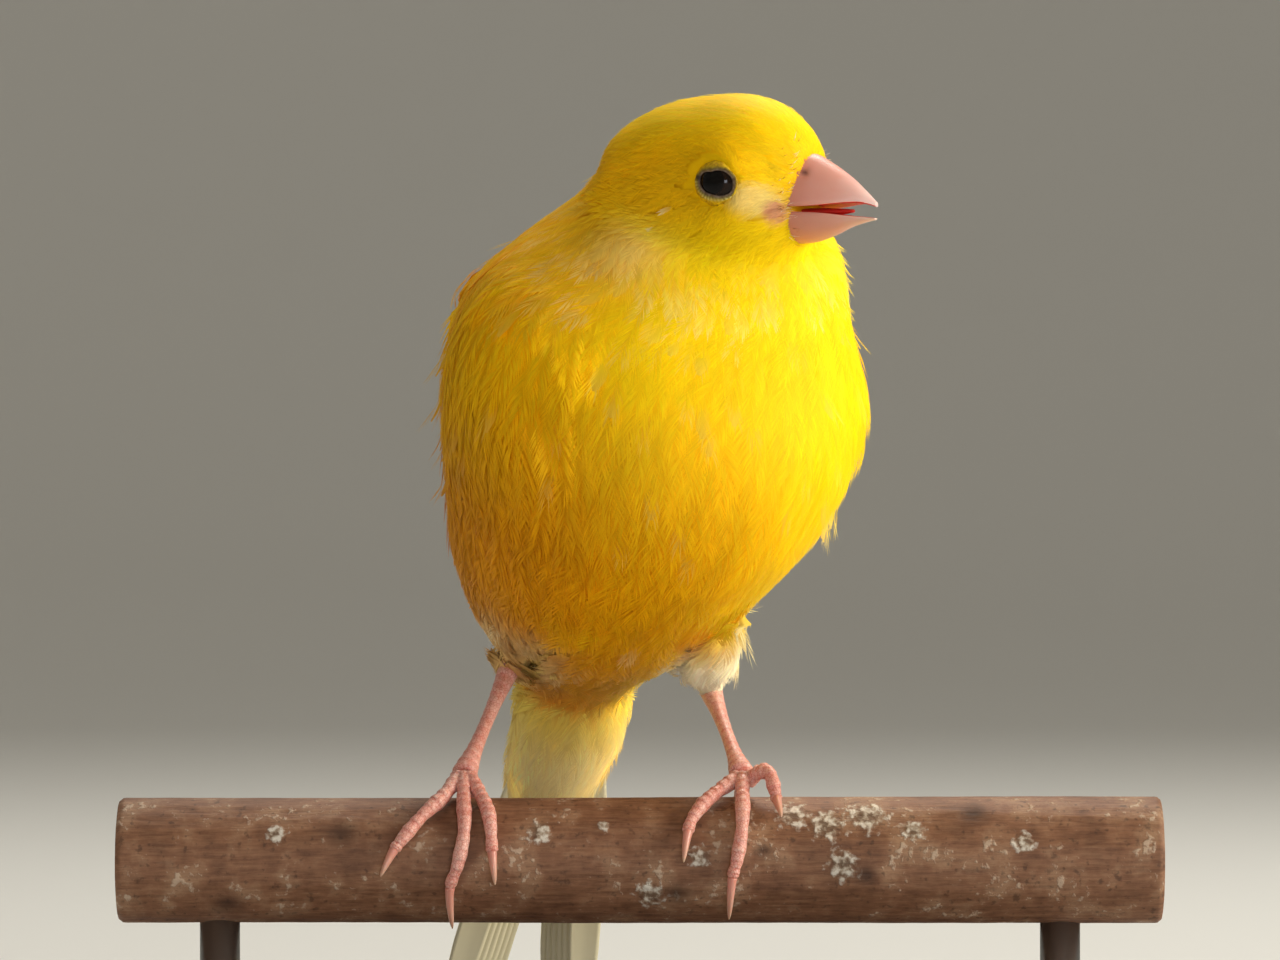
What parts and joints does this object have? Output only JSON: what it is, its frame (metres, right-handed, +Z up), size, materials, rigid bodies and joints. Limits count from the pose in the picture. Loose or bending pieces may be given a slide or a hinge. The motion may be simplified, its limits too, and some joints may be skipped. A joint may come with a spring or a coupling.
{
  "type": "canary",
  "caption": "Life-size yellow canary gripping a short cut perch, head turned and bill a little open, on a plain stand.",
  "frame": {"origin": "middle of the stand's underside", "axes": "+Z up, +X along the perch to the viewer's right, -Y towards the viewer; -Z is the underside's outward normal"},
  "size_m": [0.104, 0.0847, 0.1083],
  "materials": {
    "plumage": "soft overlapping lemon to golden yellow feathers",
    "pale_plumage": "soft pale yellow to creamy white feathers",
    "eye": "wet, glossy, nearly black",
    "bill": "smooth satin horn, pink, paler at the tips",
    "mouth": "moist red lining",
    "leg_skin": "scaled pink skin",
    "claw": "translucent horn",
    "bark": "thin smooth brown bark with pale scuffs, sawn ends",
    "stand": "dark stained, satin",
    "stand_metal": "brushed"
  },
  "bodies": {
    "root": {"torso": "plumage", "neck": "plumage", "head": "plumage", "wing_left": "plumage", "wing_right": "plumage", "tail": "pale_plumage", "thigh_left": "pale_plumage", "thigh_right": "pale_plumage", "eye_left": "eye", "eye_right": "eye", "bill_upper": "bill", "bill_lower": "bill", "tongue": "mouth", "tarsus_left": "leg_skin", "tarsus_right": "leg_skin", "perch": "bark", "stand_base": "stand", "stand_rod_left": "stand_metal", "stand_rod_right": "stand_metal", "toe_inner_left": "leg_skin", "claw_inner_left": "claw", "toe_middle_left": "leg_skin", "claw_middle_left": "claw", "toe_outer_left": "leg_skin", "claw_outer_left": "claw", "toe_hind_left": "leg_skin", "claw_hind_left": "claw", "toe_inner_right": "leg_skin", "claw_inner_right": "claw", "toe_middle_right": "leg_skin", "claw_middle_right": "claw", "toe_outer_right": "leg_skin", "claw_outer_right": "claw", "toe_hind_right": "leg_skin", "claw_hind_right": "claw"}
  },
  "joints": []
}
